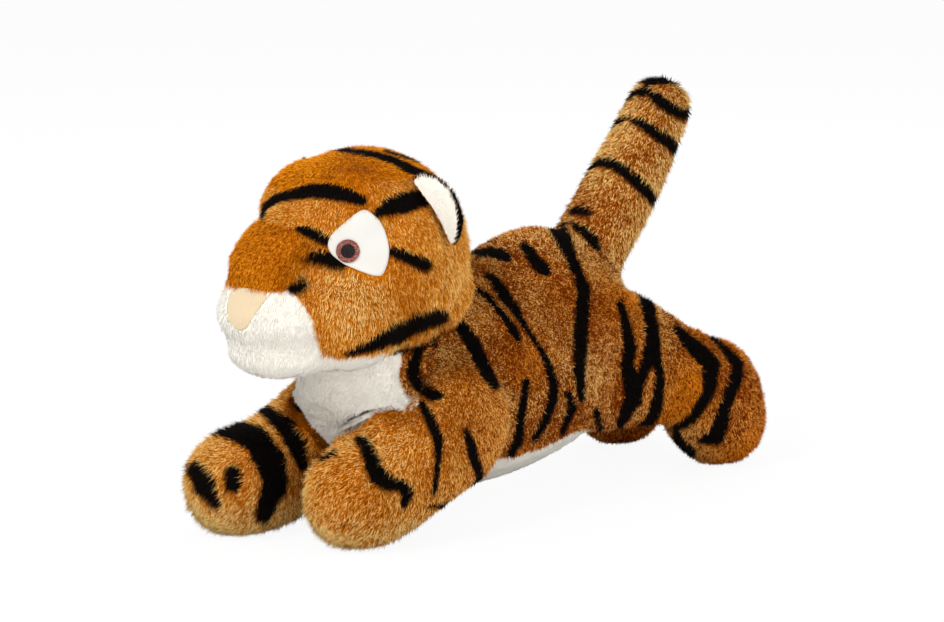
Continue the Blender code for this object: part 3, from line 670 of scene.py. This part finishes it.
def one_tuft():
    """One tuft: a slim three-sided spike, one metre tall and one wide until it is scaled."""
    bm = bmesh.new()
    bmesh.ops.create_cone(
        bm, cap_ends=True, cap_tris=False, segments=3, radius1=0.5, radius2=0, depth=1,
        matrix=Matrix.Translation((0, 0, 0.5)),
    )
    bmesh.ops.remove_doubles(bm, verts=bm.verts, dist=1e-5)
    mesh = bpy.data.meshes.new("tuft")
    bm.to_mesh(mesh)
    bm.free()
    tip = mesh.attributes.new("tip", "FLOAT", "POINT")
    for vertex in mesh.vertices:
        tip.data[vertex.index].value = vertex.co.z
    baked = mesh.uv_layers.new(name="OFBake")
    for loop in mesh.loops:
        place = mesh.vertices[loop.vertex_index].co
        baked.data[loop.index].uv = (0.5 + 0.8 * place.x, 0.1 + 0.8 * place.z + 0.15 * abs(place.y))
    return link("tuft", mesh)


def pile_nodes(tuft):
    """Geometry nodes that grow the pile: tufts on a cover, combed, with uneven length and shade."""
    tree = bpy.data.node_groups.new("pile", "GeometryNodeTree")
    tree.interface.new_socket("Geometry", in_out="INPUT", socket_type="NodeSocketGeometry")
    tree.interface.new_socket("Geometry", in_out="OUTPUT", socket_type="NodeSocketGeometry")
    given = add_node(tree, "NodeGroupInput").outputs["Geometry"]
    carried = {
        name: add_node(
            tree, "GeometryNodeInputNamedAttribute", {"Name": name}, data_type=kind
        ).outputs["Attribute"]
        for name, kind in (
            ("cover", "FLOAT"), ("loose", "FLOAT"), ("pile", "FLOAT"), ("thick", "FLOAT"),
            ("comb", "FLOAT_VECTOR"),
        )
    }
    spread = add_node(
        tree,
        "GeometryNodeDistributePointsOnFaces",
        {"Mesh": given, "Density": carried["cover"], "Seed": 7},
        distribute_method="RANDOM",
    )
    anyhow = add_node(
        tree, "FunctionNodeRandomValue", {0: (-1, -1, -1), 1: (1, 1, 1), 8: 1}, data_type="FLOAT_VECTOR"
    ).outputs[0]
    stray = add_node(
        tree, "ShaderNodeVectorMath", {0: anyhow, "Scale": carried["loose"]}, operation="SCALE"
    ).outputs[0]
    way = add_node(
        tree, "ShaderNodeVectorMath", {0: carried["comb"], 1: stray}, operation="ADD"
    ).outputs[0]
    leaned = add_node(tree, "FunctionNodeAlignRotationToVector", {"Vector": way}, axis="Z").outputs[0]
    turn = add_node(
        tree, "FunctionNodeRandomValue", {0: (0, 0, 0), 1: (0, 0, math.tau), 8: 2}, data_type="FLOAT_VECTOR"
    ).outputs[0]
    spun = add_node(
        tree,
        "FunctionNodeRotateRotation",
        {"Rotation": leaned, "Rotate By": turn},
        rotation_space="LOCAL",
    ).outputs[0]
    uneven = add_node(
        tree, "FunctionNodeRandomValue", {2: 0.65, 3: 1.15, 8: 3}, data_type="FLOAT"
    ).outputs[1]
    length = add_node(
        tree, "ShaderNodeMath", {0: carried["pile"], 1: uneven}, operation="MULTIPLY"
    ).outputs[0]
    width = carried["thick"]
    size = add_node(tree, "ShaderNodeCombineXYZ", {"X": width, "Y": width, "Z": length}).outputs[0]
    shape = add_node(tree, "GeometryNodeObjectInfo", {"Object": tuft}).outputs["Geometry"]
    grown = add_node(
        tree,
        "GeometryNodeInstanceOnPoints",
        {"Points": spread.outputs["Points"], "Instance": shape, "Rotation": spun, "Scale": size},
    ).outputs[0]
    chance = add_node(
        tree, "FunctionNodeRandomValue", {2: 0.0, 3: 1.0, 8: 4}, data_type="FLOAT"
    ).outputs[1]
    shaded = add_node(
        tree,
        "GeometryNodeStoreNamedAttribute",
        {"Geometry": grown, "Name": "shade", "Value": chance},
        data_type="FLOAT",
        domain="INSTANCE",
    ).outputs[0]
    real = add_node(tree, "GeometryNodeRealizeInstances", {"Geometry": shaded}).outputs[0]
    add_node(tree, "NodeGroupOutput", {"Geometry": real})
    return tree


def soften_shading(mesh):
    """Light the pile mostly as the cover under it is lit, which is how dense plush looks."""
    count = len(mesh.vertices) * 3
    nap, own = np.empty(count, np.float32), np.empty(count, np.float32)
    mesh.attributes["nap"].data.foreach_get("vector", nap)
    mesh.vertex_normals.foreach_get("vector", own)
    mixed = (nap * (1 - TUFT_ROUNDNESS) + own * TUFT_ROUNDNESS).reshape(-1, 3)
    mixed /= np.maximum(np.linalg.norm(mixed, axis=1), 1e-6)[:, None]
    mesh.normals_split_custom_set_from_vertices(mixed)
    for name in ("comb", "nap", "cover", "pile", "thick", "loose"):
        mesh.attributes.remove(mesh.attributes[name])


def grow_pile(obj, name, tree, material, share):
    """The pile of one share of a cover, as a mesh of its own."""
    source = link(name + "_source", obj.data.copy())
    density = np.empty(len(source.data.vertices), np.float32)
    source.data.attributes["cover"].data.foreach_get("value", density)
    source.data.attributes["cover"].data.foreach_set("value", density * share)
    modifier = source.modifiers.new("pile", "NODES")
    modifier.node_group = tree
    mesh = applied(source)
    bpy.data.objects.remove(source, do_unlink=True)
    mesh.shade_smooth()
    places = np.empty(len(mesh.vertices) * 3)
    mesh.vertices.foreach_get("co", places)
    places[2::3] = np.maximum(places[2::3], FLOOR_GAP)
    mesh.vertices.foreach_set("co", places)
    baked = mesh.uv_layers["OFBake"].data
    per_tuft = 12
    across = math.ceil(math.sqrt(len(mesh.loops) // per_tuft))
    uvs = np.empty(len(mesh.loops) * 2)
    baked.foreach_get("uv", uvs)
    which = np.arange(len(mesh.loops)) // per_tuft
    cells = np.stack([which % across, which // across], axis=1)
    baked.foreach_set("uv", ((uvs.reshape(-1, 2) + cells) / across).ravel())
    soften_shading(mesh)
    return link(name, mesh, material)


def dress(obj, bare, outwards, source, pile, lay, loose, thick, look, print_of):
    """Give a cover what its pile needs, at each of its points. look gives the white, the rust and the strength
    of the painted highlight on the tips there, and print_of gives the black. Where settling has folded the
    cover over, its pile grows outwards all the same."""
    points, normals = points_of(obj)
    folded = np.sum(normals * outwards, axis=1) < 0.5
    normals = np.where(folded[:, None], outwards, normals)
    white, rust, pale = look(points, normals)
    pile = pile(points) if callable(pile) else np.full(len(points), pile)
    lay = lay * (1 - white) + WHITE_LAY * white
    flow = points - np.array(source)
    flow -= normals * np.sum(flow * normals, axis=1)[:, None]
    flow /= np.maximum(np.linalg.norm(flow, axis=1), 1e-6)[:, None]
    locks = np.array([noise.noise_vector(Vector(p) * LOCKS_PER_METRE) for p in points])
    stray = locks * (0.9 * loose * (1 - 0.5 * white))[:, None]
    lean = normals * (1 - lay)[:, None] + flow * lay[:, None] + stray
    # The stripes are printed on the finished pile, so a tuft's colour is that of where its middle lies
    middles = points + lean * (0.5 * pile / np.linalg.norm(lean, axis=1))[:, None]
    black = print_of(middles) * (1 - white)
    carry(obj, "comb", lean)
    carry(obj, "nap", normals)
    carry(obj, "loose", loose * (1 - white) + WHITE_LOOSE * white)
    carry(obj, "cover", np.where(bare, 0.0, TUFTS))
    carry(obj, "pile", pile * (1 - white) + WHITE_PILE * white)
    carry(obj, "thick", thick * (1 + 0.2 * white))
    carry(obj, "stripe", black)
    carry(obj, "white", white)
    carry(obj, "rust", rust)
    # pale: how strong the painted highlight on the tips is here
    carry(obj, "pale", pale)
    # The cover takes the colour of its tufts 0.3 of the way up, with part of their painted root shade
    carry(obj, "tip", np.full(len(points), 0.3))
    carry(obj, "shade", np.full(len(points), 0.4))


def painted_sheen(points):
    """0 to 1 in soft patches 40 mm across, where a painted sheen lightens the tips."""
    waves = (noise.noise(Vector(p) * PATCHES_PER_METRE) for p in points)
    return np.array([min(max(0.5 + 1.3 * wave, 0), 1) for wave in waves])


def torso_look(points, normals):
    bib = inside(points, BIB_WHITE) * (points[:, 1] < -0.06)
    belly = (np.abs(points[:, 0]) < 0.033) & (normals[:, 2] < -0.35) & (points[:, 1] < 0.062)
    # The pale tips here are a painted sheen, in patches
    return np.maximum(bib, belly.astype(float)), np.full(len(points), 0.85), 0.35 + 1.5 * painted_sheen(points)


def neck_look(points, normals):
    # With the torso's painted sheen on the tips
    _, rust, pale = torso_look(points, normals)
    front = (normals[:, 1] < 0.1) | (points[:, 1] < -0.09)
    return inside(points, BIB_WHITE) * front, rust, pale


def haunch_look(points, normals):
    """Rustier towards the feet, where the painted sheen on the tips fades."""
    foot = np.clip((points[:, 1] - 0.11) / 0.03, 0, 1)
    return np.zeros(len(points)), 0.85 + 0.15 * foot, (0.1 + 1.2 * painted_sheen(points)) * (1 - 0.7 * foot)


def paw_look(points, normals):
    """Rusty at the shoulder and golden at the paw. The painted highlight on the tips grows towards the paw and
    is strongest in the fringe round its foot, and the furrow gets painted shade.
    """
    up = np.clip((points[:, 1] + 0.11) / 0.05, 0, 1)
    fringe = np.clip((0.024 - points[:, 2]) / 0.012, 0, 1) * (1 - up)
    # Painted shade in the furrow: rustier there, and without the pale tips
    furrow_shade = printed(points, PAW_FURROW_SHADE)
    pale = (1 - furrow_shade) * (0.8 + 1.1 * (1 - up) + 2.5 * fringe)
    return np.zeros(len(points)), 0.05 + 0.7 * up + 0.9 * furrow_shade, pale


def tail_look(points, normals):
    # A strong painted highlight on the tips all over
    return np.zeros(len(points)), np.full(len(points), 0.65), np.full(len(points), 2.2)


def cheek(points):
    """1 in the middle of the cheek, falling to 0 round it."""
    away = np.linalg.norm(from_left(points) - np.array(CHEEK_CENTRE), axis=1)
    return np.clip(1.3 - 1.3 * away / CHEEK_PIXELS, 0, 1) * (points[:, 1] < -0.07)


def head_look(points, normals):
    """The brow and the snout are deep orange panels and the sides are golden. The painted highlight on the
    tips is strong on the sides, strongest in the middle of the cheeks, and faint on the panels.
    """
    white = inside(points, MUZZLE_WHITE)
    snout, brow = inside(points, SNOUT_PANEL), inside(points, BROW_PANEL)
    deep = np.maximum(snout, brow)
    return white, 0.45 * snout + 0.2 * brow, (1 - deep) * (1.4 + 2.0 * cheek(points)) + 0.05 * deep


def ear_look(points, normals):
    """A white lining in front."""
    front = normals[:, 1] < 0.15
    # A painted highlight on the tips, as elsewhere
    return inside(points, EAR_WHITE) * front, np.full(len(points), 0.2), np.full(len(points), 1.2)


def paw_pile(points):
    """The pile grows longer from the shoulder down to the paw, and longest in the fringe round its foot."""
    down = np.clip((-0.085 - points[:, 1]) / 0.04, 0, 1)
    return 0.0034 + 0.0020 * down + 0.0014 * down * np.clip((0.024 - points[:, 2]) / 0.012, 0, 1)


def head_pile(points):
    """The pile is short on the brow and snout, and longer over the cheeks and the back of the head."""
    low = np.clip((0.150 - points[:, 2]) / 0.03, 0, 1)
    back = np.clip((points[:, 1] + 0.13) / 0.04, 0, 1)
    long = np.maximum(low * back, np.clip((points[:, 1] + 0.075) / 0.03, 0, 1))
    return 0.0034 + 0.0028 * np.maximum(long, 0.8 * cheek(points))


striped_plush = plush("striped acrylic plush")
white_felt = felt("white wool felt", "D4D2CC")
brown_thread = embroidery("brown embroidery thread", "5A2018", "A8685C", 0.3)
black_thread = embroidery("black embroidery thread", "050303", "201816", 0.18)
nose_velour = ribbed_cloth("peach ribbed velour", "CDB692", "E0CFB0", 0.0011)

tuft = one_tuft()
pile_tree = pile_nodes(tuft)

BODY = ["torso", "chest_bib", "belly_panel", "neck", "tail"]
LEFT_LIMBS = ["foreleg_left", "hind_leg_left", "hind_foot_left"]
RIGHT_LIMBS = ["foreleg_right", "hind_leg_right", "hind_foot_right"]
# Stuffing that carries the bib down from the throat, and that fills the crook of the near foreleg
THROAT_FILLER = ((0, -0.092, 0.058), (0.026, 0.021, 0.022))
CROOK_FILLER = ((0.0345, -0.1025, 0.0505), (0.0125, 0.0145, 0.0132))
left_fill = (THROAT_FILLER, CROOK_FILLER)
left_form = search_tree(
    stuffed("left_form", BODY + LEFT_LIMBS, left_fill, BODY_FOLD, FORM_VOXEL, FORM_ROUNDS)
)
right_form = search_tree(
    stuffed("right_form", BODY + RIGHT_LIMBS, (THROAT_FILLER,), BODY_FOLD, FORM_VOXEL, FORM_ROUNDS)
)

# Balls of stuffing that round out the brow, the nape, the snout, the cheeks and the mouth
HEAD_FILLERS = (
    ((0.014, -0.106, 0.155), (0.0298, 0.0298, 0.0320)),
    ((-0.014, -0.106, 0.155), (0.0298, 0.0298, 0.0320)),
    ((0.0265, -0.062, 0.122), (0.0175, 0.0175, 0.022)),
    ((-0.0265, -0.062, 0.122), (0.0175, 0.0175, 0.022)),
    ((0.008, -0.150, 0.126), (0.016, 0.018, 0.014)),
    ((-0.008, -0.150, 0.126), (0.016, 0.018, 0.014)),
    ((0.024, -0.122, 0.112), (0.028, 0.030, 0.026)),
    ((-0.024, -0.122, 0.112), (0.028, 0.030, 0.026)),
    ((0, -0.145, 0.105), (0.029, 0.017, 0.012)),
)
TAIL_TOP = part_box("tail")[1]
COVERS = [
    # name, nodes, fillers, fold, combed away from, pile, lay, loose, tuft width, look, print, shares
    ("torso", ["torso", "chest_bib", "belly_panel"], (), 0.0, (0, 0.28, 0.26),
     0.0031, 0.5, 0.42, 0.00075, torso_look, body_print, 3),
    ("neck", ["neck"], (), 0.0, (0, 0.1, 0.24), 0.0031, 0.5, 0.4, 0.00075, neck_look, body_print, 1),
    ("head", ["head", "muzzle", "chin", "snout_bridge"], HEAD_FILLERS, HEAD_FOLD,
     (0, -0.095, 0.20), head_pile, 0.72, 0.25, 0.00052, head_look, head_print, 3),
    ("foreleg_left", ["foreleg_left"], (CROOK_FILLER,), 0.0, (0.038, -0.03, 0.11),
     paw_pile, 0.64, 0.32, 0.0006, paw_look, body_print, 1),
    ("foreleg_right", ["foreleg_right"], (), 0.0, (-0.038, -0.03, 0.11),
     paw_pile, 0.64, 0.32, 0.0006, paw_look, body_print, 1),
    ("hind_leg_left", ["hind_leg_left", "hind_foot_left"], (), HIP_FOLD,
     (0.034, 0.28, 0.26), 0.0034, 0.5, 0.42, 0.00072, haunch_look, body_print, 1),
    ("hind_leg_right", ["hind_leg_right", "hind_foot_right"], (), HIP_FOLD,
     (-0.034, 0.28, 0.26), 0.0034, 0.5, 0.42, 0.00072, haunch_look, body_print, 1),
    ("tail", ["tail"], (), 0.0, (0, TAIL_TOP[1], TAIL_TOP[2] + 0.01),
     0.0050, 0.7, 0.3, 0.0007, tail_look, tail_print, 1),
    ("ear_left", ["ear_left", "ear_lining_left"], (), 0.002, (0.045, -0.084, 0.13),
     0.0026, 0.6, 0.25, 0.0005, ear_look, ear_print, 1),
    ("ear_right", ["ear_right", "ear_lining_right"], (), 0.002, (-0.045, -0.084, 0.13),
     0.0026, 0.6, 0.25, 0.0005, ear_look, ear_print, 1),
]
covers = {}
for (name, nodes, fillers, fold, source, pile, lay, loose, thick, look, print_of, shares) in COVERS:
    rounds = HEAD_ROUNDS if name == "head" else COVER_ROUNDS
    made = stuffed(name + "_cover", nodes, fillers, fold, COVER_VOXEL, rounds)
    cover = link(name + "_cover", made, striped_plush)
    covers[name] = cover
    points, outwards = points_of(cover)
    if name == "head":
        front = points[:, 1] < -0.1
        bare = front * (inside(points, EYE_FELT) + inside(points, shrunk(NOSE_CLOTH, 0.9))) > 0.5
    elif name.startswith("ear"):
        bare = buried(cover, "head")
    else:
        depth = np.full(len(points), SEAM_DEPTH)
        if name in ("torso", "neck"):
            throat = (points[:, 1] < THROAT_BACK_Y) & (np.abs(points[:, 0]) < THROAT_HALF_WIDTH)
            depth = np.where(throat, CHEST_DEPTH, THROAT_DEPTH)
        bare, outwards = settle(cover, left_form, right_form, depth)
    dress(cover, bare, outwards, source, pile, lay, loose, thick, look, print_of)
    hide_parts(*nodes)
    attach(cover, name)
    place = (points[:, 1] - points[:, 1].min()) / np.ptp(points[:, 1])
    for k in range(shares):
        share = (place * shares >= k) & (place * shares < k + 1 + (k == shares - 1))
        fur = grow_pile(cover, f"{name}_pile_{k + 1}", pile_tree, striped_plush, share)
        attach(fur, name)
bpy.data.objects.remove(tuft, do_unlink=True)


def laid_patch(name, surface, outline, centre, material, thickness, rise, crown=0.0, rings=8):
    """A thin piece laid on a surface inside an outline drawn over the photograph's view: a fan of
    rings, pressed on from the camera's side, thickened and rounded at its edge."""
    corners = [Vector(point) - Vector(centre) for point in outline]
    edge = [a.lerp(b, k / 8) for a, b in zip(corners, corners[1:] + corners[:1]) for k in range(8)]
    edge.sort(key=lambda v: math.atan2(v.y, v.x))
    angles = [math.atan2(v.y, v.x) for v in edge]
    radii = [v.length for v in edge]
    bm = bmesh.new()
    spoke = [bm.verts.new((k / rings, 0, 0)) for k in range(rings + 1)]
    edges = [bm.edges.new(pair) for pair in zip(spoke, spoke[1:])]
    bmesh.ops.spin(
        bm, geom=spoke + edges, cent=(0, 0, 0), axis=(0, 0, 1), angle=math.tau, steps=64, use_merge=True
    )
    bmesh.ops.remove_doubles(bm, verts=bm.verts, dist=1e-5)
    for v in bm.verts:
        off = v.co.length
        angle = math.atan2(v.co.y, v.co.x)
        reach = np.interp(angle, angles, radii, period=math.tau)
        pixel = (centre[0] + reach * off * math.cos(angle), centre[1] + reach * off * math.sin(angle))
        place, normal, _, _ = surface.ray_cast(eye_place, sight_line(pixel))
        if place is None:
            place, normal, _, _ = surface.find_nearest(eye_place + sight_line(pixel) * VIEW_DISTANCE)
        v.co = place + normal * (rise + crown * (1 - off**2))
    for _ in range(3):
        bmesh.ops.smooth_vert(
            bm, verts=bm.verts, factor=0.5, use_axis_x=True, use_axis_y=True, use_axis_z=True
        )
    bmesh.ops.recalc_face_normals(bm, faces=bm.faces)
    if sum((f.normal.dot(ahead) for f in bm.faces)) > 0:
        bmesh.ops.reverse_faces(bm, faces=bm.faces)
    bmesh.ops.solidify(bm, geom=bm.faces[:], thickness=thickness)
    bmesh.ops.recalc_face_normals(bm, faces=bm.faces)
    for face in bm.faces:
        face.smooth = True
    mesh = bpy.data.meshes.new(name)
    bm.to_mesh(mesh)
    bm.free()
    return link(name, mesh, material)


def other_side(obj, name):
    """The same piece on the tiger's right side."""
    bm = bmesh.new()
    bm.from_mesh(obj.data)
    bmesh.ops.transform(bm, matrix=Matrix.Diagonal((-1, 1, 1, 1)), verts=bm.verts)
    bmesh.ops.reverse_faces(bm, faces=bm.faces)
    mesh = bpy.data.meshes.new(name)
    bm.to_mesh(mesh)
    bm.free()
    return link(name, mesh, obj.data.materials[0])


def circle(radius, count=24):
    """An outline round the eye's middle."""
    across, down = EYE_CENTRE
    turns = [k * math.tau / count for k in range(count)]
    return [(across + radius * math.cos(turn), down + radius * math.sin(turn)) for turn in turns]


face_surface = search_tree(covers["head"].data)
felt_left = laid_patch(
    "eye_felt_left", face_surface, EYE_FELT, FELT_CENTRE, white_felt, 0.0012, 0.0010
)
felt_surface = search_tree(felt_left.data)
iris_left = laid_patch(
    "eye_ring_left", felt_surface, circle(IRIS_PIXELS), EYE_CENTRE, brown_thread, 0.0008, 0.0006, 0.0004
)
ring_surface = search_tree(iris_left.data)
pupil_left = laid_patch(
    "eye_pupil_left", ring_surface, circle(PUPIL_PIXELS), EYE_CENTRE, black_thread,
    0.0006, 0.0004, 0.0003,
)
for piece, node, slot in (
    (felt_left, "eye_patch", "white_felt"),
    (iris_left, "iris", "brown_thread"),
    (pupil_left, "pupil", "black_thread"),
):
    twin = other_side(piece, piece.name.replace("left", "right"))
    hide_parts(node + "_left")
    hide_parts(node + "_right")
    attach(piece, "head")
    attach(twin, "head")
nose = laid_patch(
    "nose_cloth", face_surface, NOSE_CLOTH, NOSE_CENTRE, nose_velour, 0.0012, 0.0003, 0.0010
)
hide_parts("nose")
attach(nose, "head")


def straight_rays(tree):
    """1 for what the camera sees straight on, in a gloss or through something clear."""
    rays = add_node(tree, "ShaderNodeLightPath").outputs
    seen = rays["Is Camera Ray"]
    for kind in ("Is Glossy Ray", "Is Transmission Ray"):
        seen = add_node(tree, "ShaderNodeMath", {0: seen, 1: rays[kind]}, use_clamp=True).outputs[0]
    return seen


def add_stage():
    """A pale floor, and a soft studio light."""
    bm = bmesh.new()
    bmesh.ops.create_grid(bm, x_segments=1, y_segments=1, size=6)
    mesh = bpy.data.meshes.new("floor")
    bm.to_mesh(mesh)
    bm.free()
    material, tree, shader = new_material("white paper floor")
    shader.inputs["Base Color"].default_value = colour("F2F2F2")
    shader.inputs["Roughness"].default_value = 0.9
    rays = straight_rays(tree)
    paper = add_node(tree, "ShaderNodeEmission", {"Color": colour("FFFFFF"), "Strength": 1.0}).outputs[0]
    share = add_node(tree, "ShaderNodeMath", {0: rays, 1: PAPER_SHARE}, operation="MULTIPLY").outputs[0]
    mixed = add_node(
        tree, "ShaderNodeMixShader", {0: share, 1: shader.outputs[0], 2: paper}
    ).outputs[0]
    tree.links.new(mixed, tree.nodes["Material Output"].inputs["Surface"])
    floor = link("floor", mesh, material)

    world = bpy.data.worlds.new("studio")
    bpy.context.scene.world = world
    world.use_nodes = True
    tree = world.node_tree
    rays = straight_rays(tree)
    strength = add_node(
        tree, "ShaderNodeMapRange", {"Value": rays, "To Min": 0.70, "To Max": 1.0}
    ).outputs["Result"]
    background = tree.nodes["Background"]
    background.inputs["Color"].default_value = (1, 1, 1, 1)
    tree.links.new(strength, background.inputs["Strength"])

    for name, place, size, power in (
        ("key light", (0.1, -1.5, 1.5), 0.7, 25.5),
        ("fill light", (1.6, 0.1, 0.5), 1.2, 10.0),
        ("back light", (-1.0, 1.2, 1.4), 0.9, 9.0),
    ):
        lamp = bpy.data.lights.new(name, "AREA")
        lamp.size = size
        lamp.energy = power
        holder = bpy.data.objects.new(name, lamp)
        holder.location = place
        aim = Vector((0, 0, 0.08)) - Vector(place)
        holder.rotation_euler = aim.to_track_quat("-Z", "Y").to_euler()
        bpy.context.scene.collection.objects.link(holder)


add_camera()
add_stage()
bpy.context.scene.view_settings.view_transform = "Standard"
